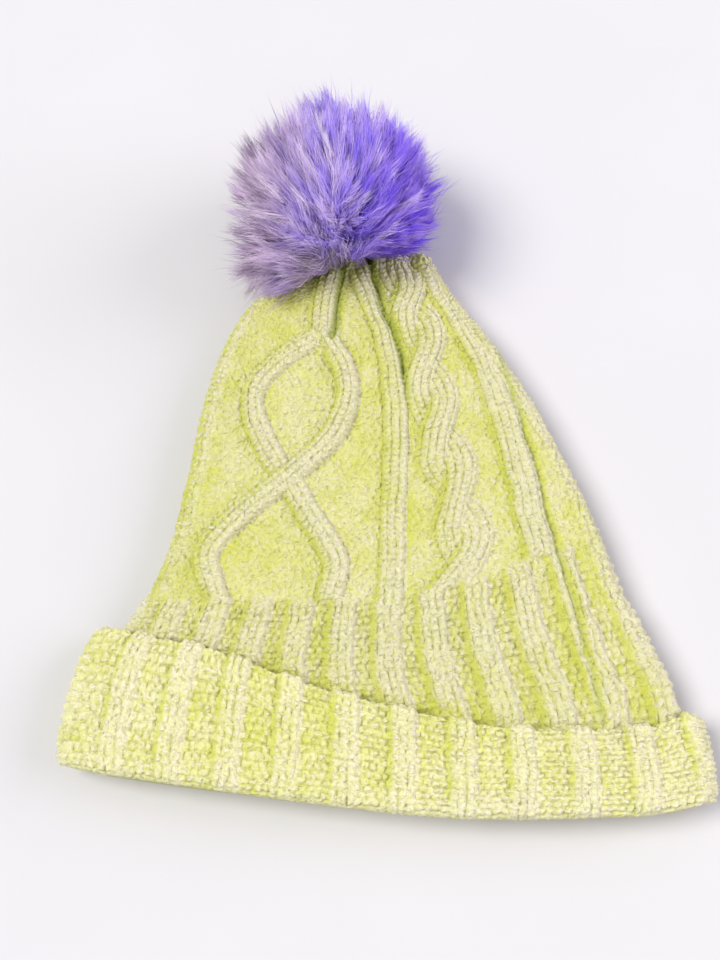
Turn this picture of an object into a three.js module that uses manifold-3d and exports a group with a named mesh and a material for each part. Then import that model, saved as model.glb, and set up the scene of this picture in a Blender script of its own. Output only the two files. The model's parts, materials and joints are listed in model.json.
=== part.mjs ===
// A slouchy cable-knit beanie with a turned-up brim and a faux-fur pom-pom, lying flat on its back.
// Millimetres, +Z up, +Y from the brim towards the pom-pom, +X to the wearer's left side.
// The origin is on the flat underside of the turned-up brim, REST_Y above the lowest point of its fold.
import * as THREE from "three";
import { mergeVertices } from "three/addons/utils/BufferGeometryUtils.js";
import Module from "manifold-3d";

const wasm = await Module();
wasm.setup();

// ---- Driving dimensions, measured from the lowest point of the fold (y) and the plane it lies on (z) ----

const WALL = 4.5; // one layer of chunky chenille knit
const GAP = 0.4; // air between two layers that lie on each other
const REST_Y = 20; // where the origin sits, up from the fold

const CUFF_THICKNESS = 24; // four layers of knit and the flattened opening
const CUFF_ROUND = 6.5; // roundness of the cuff's side folds
const CUFF_CORNER_R = 8; // its lower corners, seen from above
const CUFF_HALF_WIDTH = 119.5;
const FOLD_LEFT_Y = 9; // the fold hangs lower in the middle than at its ends
const FOLD_RIGHT_Y = 7;
const CUFF_LEFT_Y = 63; // the cuff is deeper on the left than on the right
const CUFF_MIDDLE_Y = 38;
const CUFF_RIGHT_Y = 37;

const BRIM_HALF_WIDTH = 105.5; // the knit tube inside the cuff
const BRIM_BOTTOM = WALL + GAP;
const BRIM_TOP = CUFF_THICKNESS - WALL - GAP;
const BODY_TOP = 23; // the loose part of the hat bulges a little
const BODY_ROUND = 7;
const SLACK_FROM_Y = 62; // above the cuff the back of the hat sags onto the plane
const SLACK_TO_Y = 96;

const CROWN_Y = 238; // end of the crown at the drawn-up hole
const LOBE_Y = 241.5; // the fullest gathered lobe
const CROWN_X = -26; // the hole lies to the left of the middle
const CROWN_Z = 12.5;
const CROWN_HOLE_R = 2.6;

const CORD_R = 1.2;
const BUTTON_R = 7.5;
const BUTTON_THICKNESS = 2.4;
const BUTTON_Y = 220;
const KNOT_R = 2.1;

const PIVOT = new THREE.Vector3(CROWN_X, 244, 17); // the knot that the pom-pom hangs from
const POM_CENTRE = new THREE.Vector3(-32, 256, 35);
const POM_R = 46; // outside of the fur
const CORE_R = 14; // stuffing ball
const NECK_R = 6; // opening of the fur at the knot
const LEAN_DEG = [-18, 0, 18]; // how far the pom-pom leans to each side on its knot
const NOD_DEG = [-10, 4, 18]; // from hanging over the edge to lying on the front of the crown
const TURN_DEG = [-25, 0, 25]; // about its own axis
const CROWN_AIR = 0.8; // between the crown and the fur at those limits
const CROWN_HALF_WIDTH = 44;
const WASHER_R = 7;
const WASHER_FROM = KNOT_R + GAP;
const WASHER_THICKNESS = 1.4;

const FINE = 40; // facets round a large turned piece
const COARSE = 16; // facets round a small one
const FAR = 400; // long enough to cut right through
const X_AXIS = new THREE.Vector3(1, 0, 0);
const Y_AXIS = new THREE.Vector3(0, 1, 0);

// ---- Materials ----

const cloth = (colour, roughness = 0.95) =>
  new THREE.MeshStandardMaterial({ color: colour, roughness, metalness: 0 });
const chenille = cloth(0xc9cf78);
const chenilleCuff = cloth(0xd5d6ae);
const yarn = cloth(0xaebb52);
const fauxFur = cloth(0xb9adc9);
const fibrefill = cloth(0xf0efe9);
const cotton = cloth(0xe4e0d2, 0.85);
const horn = new THREE.MeshStandardMaterial({ color: 0x6d5a44, roughness: 0.4, metalness: 0 });
const felt = cloth(0x8f8799);

// ---- Solids ----

// A closed three.js geometry as a manifold-3d solid.
function solid(geometry) {
  const bare = geometry.index ? geometry.toNonIndexed() : geometry.clone();
  bare.deleteAttribute("normal");
  bare.deleteAttribute("uv");
  const merged = mergeVertices(bare, 1e-4);
  return new wasm.Manifold(
    new wasm.Mesh({
      numProp: 3,
      vertProperties: merged.attributes.position.array,
      triVerts: new Uint32Array(merged.index.array),
    }),
  );
}

// A manifold-3d solid back as a flat-shaded three.js geometry.
function geometryOf(body) {
  const mesh = body.getMesh();
  const geometry = new THREE.BufferGeometry();
  geometry.setAttribute("position", new THREE.BufferAttribute(mesh.vertProperties, 3));
  geometry.setIndex(new THREE.BufferAttribute(mesh.triVerts, 1));
  const flat = geometry.toNonIndexed();
  flat.computeVertexNormals();
  return flat;
}

// A plan outline made into a slab from z = low to high, its side rounded by `round` and drawn in by `inset`.
function slab(outline, low, high, round = 0, inset = 0) {
  const geometry = new THREE.ExtrudeGeometry(outline, {
    depth: high - low - 2 * round,
    curveSegments: 5,
    bevelEnabled: round > 0 || inset > 0,
    bevelSegments: round > 0 ? 4 : 1,
    bevelSize: round,
    bevelThickness: round,
    bevelOffset: -round - inset,
  });
  return geometry.translate(0, 0, low + round);
}

// A side profile drawn in (y, z), made into a bar that runs along x between two ends.
function bar(profile, from = -FAR / 2, to = FAR / 2) {
  const geometry = new THREE.ExtrudeGeometry(profile, {
    depth: to - from,
    curveSegments: 5,
    bevelEnabled: false,
  });
  const turn = new THREE.Matrix4().makeBasis(
    new THREE.Vector3(0, 1, 0),
    new THREE.Vector3(0, 0, 1),
    new THREE.Vector3(1, 0, 0),
  );
  return geometry.applyMatrix4(turn).translate(from, 0, 0);
}

// A round strand along a curve, with flat ends.
function strand(curve, radius, steps) {
  const round = new THREE.Shape().absarc(0, 0, radius, 0, 2 * Math.PI);
  return new THREE.ExtrudeGeometry(round, {
    extrudePath: curve,
    steps,
    curveSegments: COARSE / 4,
    bevelEnabled: false,
  });
}

function polygon(points) {
  return new THREE.Shape(points.map(([x, y]) => new THREE.Vector2(x, y)));
}

const vectors = (points) => points.map(([x, y]) => new THREE.Vector2(x, y));

// The drooping fold line, `up` above the fold's own edge, from the left end, where the pen is, to the right.
function foldLine(shape, halfWidth, up) {
  shape.splineThru(
    vectors([
      [-halfWidth / 2, 4 + up],
      [halfWidth / 4, -1 + up],
      [halfWidth * 0.7, 1.5 + up],
      [halfWidth, FOLD_RIGHT_Y + up],
    ]),
  );
}

// ---- The knit tube and its gathered crown ----

// Plan of the tube: it narrows from the brim to a crown that leans to the left.
function bodyOutline() {
  const shape = new THREE.Shape();
  shape.moveTo(-BRIM_HALF_WIDTH, FOLD_LEFT_Y + WALL + 2 * GAP);
  foldLine(shape, BRIM_HALF_WIDTH, WALL + 2 * GAP);
  shape.lineTo(BRIM_HALF_WIDTH, 47);
  shape.splineThru(
    vectors([
      [88, 90],
      [69, 134],
      [51, 173],
      [30, 205],
      [9, 235],
      [-2, LOBE_Y],
      [-14, CROWN_Y],
    ]),
  );
  shape.lineTo(CROWN_X - 12, CROWN_Y);
  shape.splineThru(
    vectors([
      [-60, 223],
      [-76, 195],
      [-84, 157],
      [-87, 118],
      [-97, 77],
      [-BRIM_HALF_WIDTH, 56],
    ]),
  );
  shape.closePath();
  return shape;
}

// Side profile of the tube, `inset` in from its outside. The end at the brim is left open.
function bodyProfile(inset) {
  return polygon([
    [-30, BRIM_BOTTOM + inset],
    [SLACK_FROM_Y, BRIM_BOTTOM + inset],
    [SLACK_TO_Y, inset],
    [226, inset],
    [CROWN_Y + 4, 5 + inset],
    [CROWN_Y + 4, 19 - inset],
    [222, BODY_TOP - inset],
    [SLACK_TO_Y, BODY_TOP - inset],
    [SLACK_FROM_Y, BRIM_TOP - inset],
    [-30, BRIM_TOP - inset],
  ]);
}

// Centre line of the seam, in the thickness of the back layer: [y, z] pairs.
const SEAM_R = 0.8;
const SEAM_LINE = [
  [14, BRIM_BOTTOM + WALL - 1.3],
  [SLACK_FROM_Y, BRIM_BOTTOM + WALL - 1.3],
  [SLACK_TO_Y, WALL - 1.3],
  [216, WALL - 1.3],
];

// The groove that the seam's yarn lies in, open to the inside of the hat.
function seamGroove() {
  const floor = SEAM_LINE.map(([y, z]) => [y, z - SEAM_R - GAP]);
  const roof = SEAM_LINE.map(([y, z]) => [y, z + 3]).reverse();
  floor[0][0] -= 2;
  roof[3][0] -= 2;
  floor[3][0] += 2;
  roof[0][0] += 2;
  return bar(polygon([...floor, ...roof]), -SEAM_R - GAP, SEAM_R + GAP);
}

function hatBody() {
  const outline = bodyOutline();
  const outside = solid(slab(outline, 0, BODY_TOP, BODY_ROUND)).intersect(solid(bar(bodyProfile(0))));
  const inner = solid(slab(outline, WALL, BODY_TOP - WALL, 3, WALL)).intersect(
    solid(bar(bodyProfile(WALL))),
  );
  const mouth = new THREE.BoxGeometry(2 * (BRIM_HALF_WIDTH - 9), 40, BRIM_TOP - BRIM_BOTTOM - 2 * WALL);
  mouth.translate(0, 2, (BRIM_TOP + BRIM_BOTTOM) / 2);
  const hole = new THREE.CylinderGeometry(CROWN_HOLE_R, CROWN_HOLE_R, 24, COARSE);
  hole.translate(CROWN_X, CROWN_Y, CROWN_Z);
  return geometryOf(
    outside.subtract(inner).subtract(solid(mouth)).subtract(solid(seamGroove())).subtract(solid(hole)),
  );
}

// ---- The turned-up brim ----

// Plan of the cuff, `inset` in from its outside, with its sides carried on past the free edge.
function cuffOutline(inset) {
  const side = CUFF_HALF_WIDTH - inset;
  const corner = CUFF_HALF_WIDTH - CUFF_CORNER_R;
  const shape = new THREE.Shape();
  shape.moveTo(-111.5 + inset, 90);
  shape.lineTo(-111.5 + inset, 66);
  shape.splineThru(
    vectors([
      [-117.5 + inset, 44],
      [-side, FOLD_LEFT_Y + CUFF_CORNER_R],
    ]),
  );
  shape.absarc(-corner, FOLD_LEFT_Y + CUFF_CORNER_R, CUFF_CORNER_R - inset, Math.PI, 1.5 * Math.PI, false);
  foldLine(shape, corner, inset);
  shape.absarc(corner, FOLD_RIGHT_Y + CUFF_CORNER_R, CUFF_CORNER_R - inset, 1.5 * Math.PI, 2 * Math.PI, false);
  shape.splineThru(
    vectors([
      [116.5 - inset, 34],
      [112.5 - inset, 46],
    ]),
  );
  shape.lineTo(112 - inset, 90);
  shape.closePath();
  return shape;
}

// Everything below the cuff's free edge, which dips from the left side to the right side.
function belowFreeEdge() {
  const shape = new THREE.Shape();
  shape.moveTo(-FAR / 2, -30);
  shape.lineTo(FAR / 2, -30);
  shape.lineTo(FAR / 2, CUFF_RIGHT_Y + 6);
  shape.lineTo(112, CUFF_RIGHT_Y + 3);
  shape.splineThru(
    vectors([
      [80, 33],
      [45, 32.5],
      [5, CUFF_MIDDLE_Y],
      [-32, 46],
      [-70, 57],
      [-100, 60],
      [-112, CUFF_LEFT_Y + 2],
    ]),
  );
  shape.lineTo(-FAR / 2, CUFF_LEFT_Y + 5);
  return slab(shape, -5, CUFF_THICKNESS + 5);
}

function cuff() {
  const outside = solid(slab(cuffOutline(0), 0, CUFF_THICKNESS, CUFF_ROUND));
  const pocket = solid(slab(cuffOutline(WALL), WALL, CUFF_THICKNESS - WALL, 2));
  const mouth = new THREE.BoxGeometry(2 * (BRIM_HALF_WIDTH - 9), 60, BRIM_TOP - BRIM_BOTTOM - 2 * WALL);
  mouth.translate(0, 0, CUFF_THICKNESS / 2);
  return geometryOf(
    outside.intersect(solid(belowFreeEdge())).subtract(pocket).subtract(solid(mouth)),
  );
}

// ---- Yarn and cord at the seam and the crown ----

function seamYarn() {
  const path = new THREE.CatmullRomCurve3(
    SEAM_LINE.map(([y, z]) => new THREE.Vector3(0, y, z)),
    false,
    "catmullrom",
    0.02,
  );
  return strand(path, SEAM_R, 24);
}

// The yarn drawn through the last stitches, a ring round the hole at the end of the crown.
function gatherYarn() {
  const ring = new THREE.TorusGeometry(5.2, 1, 10, 28);
  return ring.rotateX(Math.PI / 2).translate(CROWN_X, CROWN_Y + 1 + GAP, CROWN_Z);
}

// A sewing button that lies flat inside the crown and holds the end of the cord.
function anchorButton() {
  const r = BUTTON_R;
  const t = BUTTON_THICKNESS / 2;
  const hole = CORD_R + GAP;
  const profile = vectors([
    [hole, -t],
    [r - 0.6, -t],
    [r, -t + 0.6],
    [r, t - 0.2],
    [r - 0.8, t],
    [r - 2, t - 0.5],
    [hole, t - 0.5],
    [hole, -t],
  ]);
  const disc = new THREE.LatheGeometry(profile, FINE / 2);
  return disc.rotateX(Math.PI / 2).translate(CROWN_X, BUTTON_Y, CROWN_Z - 1.5);
}

// A ball knot that stops the cord under the button.
function anchorKnot() {
  const knot = new THREE.SphereGeometry(KNOT_R, COARSE, COARSE / 2);
  return knot.translate(CROWN_X, BUTTON_Y, CROWN_Z - 1.5 - BUTTON_THICKNESS / 2 - KNOT_R - GAP);
}

// The cord: up through the button, along the crown, out through the hole and up to the pom-pom's knot.
function tieCord() {
  const low = CROWN_Z - 2.4;
  const high = CROWN_Z + 1.6;
  const path = new THREE.CatmullRomCurve3([
    new THREE.Vector3(CROWN_X, BUTTON_Y, low),
    new THREE.Vector3(CROWN_X, BUTTON_Y, high - 1),
    new THREE.Vector3(CROWN_X, BUTTON_Y + 2.5, high + 0.8),
    new THREE.Vector3(CROWN_X, BUTTON_Y + 8, high),
    new THREE.Vector3(CROWN_X, CROWN_Y - 5, CROWN_Z),
    new THREE.Vector3(CROWN_X, CROWN_Y + 2, CROWN_Z),
    new THREE.Vector3(CROWN_X, PIVOT.y - KNOT_R, PIVOT.z - KNOT_R - GAP / 2),
  ]);
  return strand(path, CORD_R, 36);
}

// ---- The pom-pom, on the line from its knot to its centre ----

const pomAxis = POM_CENTRE.clone().sub(PIVOT);
const POM_REACH = pomAxis.length();
pomAxis.normalize();

// A profile in (radius, distance from the knot) turned into a piece on the pom-pom's axis.
function turnedOnAxis(profile, facets) {
  const piece = new THREE.LatheGeometry(vectors(profile), facets);
  const toAxis = new THREE.Quaternion().setFromUnitVectors(Y_AXIS, pomAxis);
  return piece.applyQuaternion(toAxis).translate(PIVOT.x, PIVOT.y, PIVOT.z);
}

// A plain cylinder on the pom-pom's axis between two distances from the knot.
function plug(radius, from, to) {
  return turnedOnAxis([[0, from], [radius, from], [radius, to], [0, to]], FINE / 2);
}

function ball(radius, facets) {
  const sphere = new THREE.SphereGeometry(radius, facets, facets / 2);
  return sphere.translate(POM_CENTRE.x, POM_CENTRE.y, POM_CENTRE.z);
}

// The room that the crown takes from the fur when the pom-pom leans, nods and turns on its knot.
function crownRoom() {
  const block = solid(bar(bodyProfile(-CROWN_AIR), CROWN_X - CROWN_HALF_WIDTH, CROWN_X + CROWN_HALF_WIDTH));
  const blocks = [];
  for (const lean of LEAN_DEG)
    for (const nod of NOD_DEG)
      for (const turn of TURN_DEG) {
        const pose = new THREE.Matrix4().makeTranslation(PIVOT);
        pose.multiply(rotation(Y_AXIS, lean)).multiply(rotation(X_AXIS, nod)).multiply(rotation(pomAxis, turn));
        pose.multiply(new THREE.Matrix4().makeTranslation(PIVOT.clone().negate()));
        blocks.push(block.transform(pose.invert().elements));
      }
  return wasm.Manifold.union(blocks);
}

function rotation(axis, degrees) {
  return new THREE.Matrix4().makeRotationAxis(axis, THREE.MathUtils.degToRad(degrees));
}

// The fur on its gathered backing: a thick hollow ball, flat where it lies, with an open neck at the knot.
function pompomFur() {
  const lip = WASHER_FROM + WASHER_THICKNESS + GAP;
  const above = new THREE.BoxGeometry(FAR, FAR, FAR);
  above.translate(POM_CENTRE.x, POM_CENTRE.y, FAR / 2);
  return geometryOf(
    solid(ball(POM_R, FINE))
      .intersect(solid(above))
      .subtract(solid(ball(CORE_R + GAP, FINE / 2)))
      .subtract(solid(plug(NECK_R, 0, POM_REACH)))
      .subtract(solid(plug(WASHER_R + 2 * GAP, -POM_R, lip)))
      .subtract(crownRoom()),
  );
}

function pompomStuffing() {
  return ball(CORE_R, FINE / 2);
}

// The disc that spreads the knot's pull over the gathered neck of the fur.
function baseWasher() {
  const top = WASHER_FROM + WASHER_THICKNESS;
  const hole = CORD_R / 2;
  return turnedOnAxis(
    [
      [hole, WASHER_FROM],
      [WASHER_R, WASHER_FROM],
      [WASHER_R, top],
      [hole, top],
      [hole, WASHER_FROM],
    ],
    FINE / 2,
  );
}

// The drawstring that gathers the neck of the fur.
function drawstring() {
  const r = 0.8;
  const middle = WASHER_FROM + WASHER_THICKNESS + GAP + r;
  const ring = Array.from({ length: 11 }, (_, i) => {
    const angle = (2 * Math.PI * i) / 10;
    return [4.6 + r * Math.cos(angle), middle + r * Math.sin(angle)];
  });
  ring[10] = [...ring[0]];
  return turnedOnAxis(ring, FINE / 2);
}

function tieKnot() {
  const knot = new THREE.SphereGeometry(KNOT_R, COARSE, COARSE / 2);
  return knot.translate(PIVOT.x, PIVOT.y, PIVOT.z);
}

// ---- Assembly ----

const beanie = new THREE.Group();
beanie.position.y = -REST_Y;

const pieces = [
  ["hat_body", hatBody(), chenille],
  ["cuff", cuff(), chenilleCuff],
  ["back_seam_yarn", seamYarn(), yarn],
  ["crown_gather_yarn", gatherYarn(), yarn],
  ["anchor_button", anchorButton(), horn],
  ["anchor_knot", anchorKnot(), cotton],
  ["tie_cord", tieCord(), cotton],
  ["tie_knot", tieKnot(), cotton],
  ["pompom_base_washer", baseWasher(), felt],
  ["pompom_drawstring", drawstring(), cotton],
  ["pompom_fur", pompomFur(), fauxFur],
  ["pompom_stuffing", pompomStuffing(), fibrefill],
];
for (const [name, geometry, material] of pieces) {
  const mesh = new THREE.Mesh(geometry, material);
  mesh.name = name;
  beanie.add(mesh);
}

export default beanie;
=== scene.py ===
"""A cable-knit chenille beanie with a turned-up brim and a faux-fur pom-pom, lying flat on a pale floor.

Lengths are in millimetres and turned into metres where a mesh is made. x and z are the frame's own.
y is counted from the fold of the brim, so a point's y in the frame is y + SHIFT_Y.
"""
import json
import math

import bpy
import numpy as np
from mathutils import Matrix, Vector

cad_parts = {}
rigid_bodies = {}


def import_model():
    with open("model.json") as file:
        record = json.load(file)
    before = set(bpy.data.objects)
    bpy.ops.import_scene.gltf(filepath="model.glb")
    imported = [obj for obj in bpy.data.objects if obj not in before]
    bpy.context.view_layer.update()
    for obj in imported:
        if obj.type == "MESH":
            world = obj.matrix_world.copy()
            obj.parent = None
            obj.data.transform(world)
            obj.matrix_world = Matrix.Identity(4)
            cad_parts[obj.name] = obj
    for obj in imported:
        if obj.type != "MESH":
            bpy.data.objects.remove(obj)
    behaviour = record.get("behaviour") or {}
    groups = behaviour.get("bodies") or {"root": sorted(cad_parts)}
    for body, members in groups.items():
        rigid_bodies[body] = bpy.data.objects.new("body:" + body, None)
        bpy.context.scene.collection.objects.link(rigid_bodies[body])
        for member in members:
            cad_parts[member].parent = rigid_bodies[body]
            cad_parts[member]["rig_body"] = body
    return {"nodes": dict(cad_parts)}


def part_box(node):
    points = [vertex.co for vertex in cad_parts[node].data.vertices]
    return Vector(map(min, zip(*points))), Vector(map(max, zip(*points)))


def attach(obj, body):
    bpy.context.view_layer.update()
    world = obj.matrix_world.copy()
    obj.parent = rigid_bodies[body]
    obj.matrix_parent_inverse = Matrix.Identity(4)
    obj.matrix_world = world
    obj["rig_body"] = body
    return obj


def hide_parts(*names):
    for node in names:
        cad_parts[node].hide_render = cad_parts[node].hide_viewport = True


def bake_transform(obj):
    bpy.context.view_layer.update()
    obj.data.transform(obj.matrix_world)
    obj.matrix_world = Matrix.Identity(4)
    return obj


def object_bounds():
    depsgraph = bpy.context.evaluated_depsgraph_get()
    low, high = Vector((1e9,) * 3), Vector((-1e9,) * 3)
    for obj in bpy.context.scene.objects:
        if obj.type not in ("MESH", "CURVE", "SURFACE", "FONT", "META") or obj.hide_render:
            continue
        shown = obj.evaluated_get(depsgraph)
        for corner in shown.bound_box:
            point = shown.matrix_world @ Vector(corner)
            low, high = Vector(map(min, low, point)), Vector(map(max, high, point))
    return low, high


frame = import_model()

MM = 0.001
CAD_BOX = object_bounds()


def box_mm(node):
    """The lowest and highest corner of a CAD node, in millimetres."""
    low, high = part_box(node)
    return np.array(low) / MM, np.array(high) / MM


BODY_LOW, BODY_HIGH = box_mm("hat_body")
CUFF_LOW, CUFF_HIGH = box_mm("cuff")
FUR_LOW, FUR_HIGH = box_mm("pompom_fur")

FOLD_DIP = 1.1  # how far the fold hangs below y = 0 at its lowest
SHIFT_Y = CUFF_LOW[1] + FOLD_DIP
CROWN_TOP = BODY_HIGH[1] - SHIFT_Y
MID_Z = (CUFF_LOW[2] + CUFF_HIGH[2]) / 2
WALL = 4.2  # thickness of one layer of knit
STITCH = 3.3  # width of one stitch
ROW = 2.6  # height of one row of stitches
FACE_RIBS = 11  # ribs across one face of the flattened tube
WALES = 132  # stitches once round the body
PUCKERS = 11  # folds round the drawn-up crown
CRUMB, CRUMB_RISE = 2.8, 0.60  # size and height of the smallest tufts of chenille
CLUMP, CLUMP_RISE = 4.4, 0.55  # and of the larger ones
PURL_RISE, KNIT_RISE = 1.05, 1.25  # height of the two kinds of stitches
WANDER = 0.30  # how far stitches stray from their rows, as a share of a stitch
WANDER_SIZE = 5.0  # over about this distance
TINY = 1e-9


# ---- numbers and noise

LUMP_WEIGHTS = ((12.99, 78.23, 37.72), (39.35, 11.14, 83.16), (73.16, 52.24, 9.15))


def smooth(low, high, value):
    """0 below low, 1 above high, with a smooth step between."""
    part = np.clip((value - low) / (high - low), 0.0, 1.0)
    return part * part * (3.0 - 2.0 * part)


def spline(points, where):
    """A Catmull-Rom curve through points, read at where, 0 at its first point and 1 at its last."""
    points = np.asarray(points, float)
    count = len(points) - 1
    place = np.clip(np.asarray(where, float), 0.0, 1.0) * count
    index = np.minimum(place.astype(int), count - 1)
    part = (place - index)[..., None]
    before = points[np.maximum(index - 1, 0)]
    start = points[index]
    end = points[index + 1]
    after = points[np.minimum(index + 2, count)]
    bend = (2 * before - 5 * start + 4 * end - after) * part**2
    return start + 0.5 * ((end - before) * part + bend + (3 * start - before - 3 * end + after) * part**3)


def even_spline(points, where, samples=400):
    """The same curve, with where counted along its length."""
    fine = spline(points, np.linspace(0.0, 1.0, samples))
    along = lengths_along(fine)
    return stacked(*[np.interp(where, along / along[-1], axis) for axis in fine.T])


def scatter(cells, weights, seed):
    """A number from 0 to 1 for each cell that looks random and is always the same."""
    mixed = np.sin(cells @ np.array(weights) + seed) * 43758.5453
    return mixed - np.floor(mixed)


def noise(points, size, seed=0.0):
    """Smooth value noise from -1 to 1 with features of the given size."""
    spot = points / size
    cell = np.floor(spot)
    part = spot - cell
    part = part * part * (3.0 - 2.0 * part)
    total = 0.0
    for corner in np.ndindex(2, 2, 2):
        weight = np.prod(np.where(np.array(corner) == 1, part, 1.0 - part), axis=-1)
        total += weight * (2.0 * scatter(cell + corner, (12.9898, 78.233, 37.719), seed * 7.13) - 1.0)
    return total


def lumps(points, size, seed=0.0):
    """Rounded lumps packed like popcorn: 1 on the middle of each, 0 in the cracks between them."""
    spot = points / size
    cell = np.floor(spot)
    nearest = np.full(spot.shape[:-1], 9.0)
    second = nearest.copy()
    for step in np.ndindex(3, 3, 3):
        at = cell + np.array(step) - 1
        middle = at.copy()
        for axis, weights in enumerate(LUMP_WEIGHTS):
            middle[..., axis] += scatter(at, weights, seed * 3.77)
        gap = np.linalg.norm(spot - middle, axis=-1)
        second = np.minimum(second, np.maximum(gap, nearest))
        nearest = np.minimum(gap, nearest)
    return np.clip((second - nearest) * 1.8, 0.0, 1.0) ** 0.6


def lengths_along(line):
    """Length along a line of points, at each point."""
    return np.concatenate([[0.0], np.cumsum(np.linalg.norm(np.diff(line, axis=0), axis=-1))])


def stacked(*parts):
    """Coordinates put together into points."""
    return np.stack(np.broadcast_arrays(*parts), axis=-1)


def to_curve(x, y, points, samples=60):
    """Distance from the curve, with a sign that is positive on its right, and length along it."""
    line = even_spline(points, np.linspace(0.0, 1.0, samples))
    lengths = lengths_along(line)
    nearest = np.full(x.shape, 1e9)
    signed = np.zeros(x.shape)
    along = np.zeros(x.shape)
    for i in range(samples - 1):
        ax, ay = line[i]
        dx, dy = line[i + 1] - line[i]
        size = dx * dx + dy * dy
        part = np.clip(((x - ax) * dx + (y - ay) * dy) / size, 0.0, 1.0)
        gap_x = x - ax - part * dx
        gap_y = y - ay - part * dy
        gap = np.hypot(gap_x, gap_y)
        side = np.where(gap_x * dy - gap_y * dx > 0, 1.0, -1.0)
        closer = gap < nearest
        nearest = np.where(closer, gap, nearest)
        signed = np.where(closer, gap * side, signed)
        along = np.where(closer, lengths[i] + part * math.sqrt(size), along)
    return signed, along


# ---- meshes


def grid_faces(rows, columns, closed=False):
    """Quads of a grid that closes round its columns and, if closed, round its rows too."""
    row = np.arange(rows if closed else rows - 1)[:, None] * columns
    above = (row + columns) % (rows * columns)
    here = np.arange(columns)[None, :]
    beside = (here + 1) % columns
    return stacked(row + here, row + beside, above + beside, above + here).reshape(-1, 4)


def units(vectors):
    return vectors / np.maximum(np.linalg.norm(vectors, axis=-1, keepdims=True), TINY)


def add_thing(name, data):
    """A new object in the scene, from a mesh, a light or a camera."""
    thing = bpy.data.objects.new(name, data)
    bpy.context.scene.collection.objects.link(thing)
    return thing


def make_mesh(name, points_mm, faces, body, slot, material, *nodes):
    """A smooth piece that stands for CAD nodes, from points in millimetres (y from the fold) and faces."""
    points = points_mm.reshape(-1, 3) + [0.0, SHIFT_Y, 0.0]
    mesh = bpy.data.meshes.new(name)
    mesh.from_pydata((points * MM).tolist(), [], faces if isinstance(faces, list) else faces.tolist())
    mesh.update()
    mesh.shade_smooth()
    mesh.materials.append(material)
    piece = add_thing(name, mesh)
    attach(piece, body)
    if nodes:
        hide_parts(*nodes)
    return piece


def bend_between(piece):
    """Takes the piece off its body and bakes its place into its mesh."""
    piece.parent = None
    del piece["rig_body"]
    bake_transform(piece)


def add_values(piece, **named):
    """One number for each point under each name, which the piece's material reads."""
    for name, values in named.items():
        layer = piece.data.attributes.new(name, "FLOAT", "POINT")
        layer.data.foreach_set("value", np.asarray(values, np.float32).ravel())


# ---- stitches


def knit_stitches(across, along):
    """Stocking stitch, 0 to 1: chains of slanting legs with a valley between the chains."""
    side = np.abs(across % 1.0 - 0.5) * 2.0
    leg = np.abs((along + 0.42 * side) % 1.0 - 0.5) * 2.0
    return (1.0 - side**4) * (1.0 - 0.75 * leg**3)


def purl_stitches(across, along):
    """Purl ground, 0 to 1: rounded bumps laid like bricks."""
    row = np.floor(along)
    side = np.abs((across + 0.5 * (row % 2)) % 1.0 - 0.5) * 2.0
    level = np.abs(along % 1.0 - 0.5) * 2.0
    return (1.0 - side**2.6) * (1.0 - level**2.6)


# ---- the knit body

LEFT_EDGE = [(-105.5, 10), (-104, 50), (-99, 64), (-92, 79), (-85.5, 102), (-82.5, 132),
             (-79, 170), (-71.5, 200), (-58, 220), (-40, CROWN_TOP - 6)]
RIGHT_EDGE = [(105.5, 8), (104, 45), (93, 71), (83, 94), (74, 119), (64, 140), (48.5, 171),
              (31.5, 197), (15.5, 219), (5, CROWN_TOP - 4)]
ROW_LEAD = 0.138  # rows climb higher on the right, where the crown leans away
ROW_DIP = 13.0  # and hang down in the middle
BODY_SECTION = 3.2  # squareness of the flattened tube
AROUND = 760  # columns of points round the body
HIDDEN_ROWS = 6
OPEN_ROWS = 480
CUFF_COVERS = 0.03  # share of the body's height that the cuff always hides
CAP_ROWS = 16
HOLE_SHARE = 0.07  # the hole left at the crown, as a share of its last round
GATHER = np.array([-25.0, CROWN_TOP - 5.5, MID_Z])  # where the crown is drawn together
EDGE_BUMPS = 1.1  # height of the row ends that show along the two sides
CUFF_BUMPS = 0.9  # and of the stitches that show round the cuff's fold and sides
MARGIN_RISE = 0.9  # height of the plain margins along the two sides
UNDER_EDGE = 1.5  # depth of the crease where the cuff's edge rests
BODY_RAISE = 2.4  # the ground of the knit lies this far under the body's box
BACK_RAISE = 5.0  # the brim of the under layer lies further up than the top one


def body_low(y):
    """Underside of the body: it rests on the cuff's back layer, then sags to the floor."""
    return BODY_LOW[2] + 0.5 + 4.8 * (1.0 - smooth(52, 92, y)) + 4.5 * smooth(222, 243, y)


def body_high(y):
    """Top of the body's ground: pressed flat under the cuff, fuller above it."""
    top = BODY_HIGH[2] - BODY_RAISE
    return top - 3.6 * (1.0 - smooth(48, 96, y)) - 4.0 * smooth(205, 243, y)


def unit_section(count, half_width, half_height, power):
    """Points round a superellipse, evenly spaced, from the left edge over the top."""
    angle = np.linspace(0.0, 2 * np.pi, 2400)
    a = -np.sign(np.cos(angle)) * np.abs(np.cos(angle)) ** (2 / power)
    b = np.sign(np.sin(angle)) * np.abs(np.sin(angle)) ** (2 / power)
    along = lengths_along(stacked(a * half_width, b * half_height))
    spot = np.linspace(0.0, along[-1], count, endpoint=False)
    return np.interp(spot, along, a), np.interp(spot, along, b)


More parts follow.
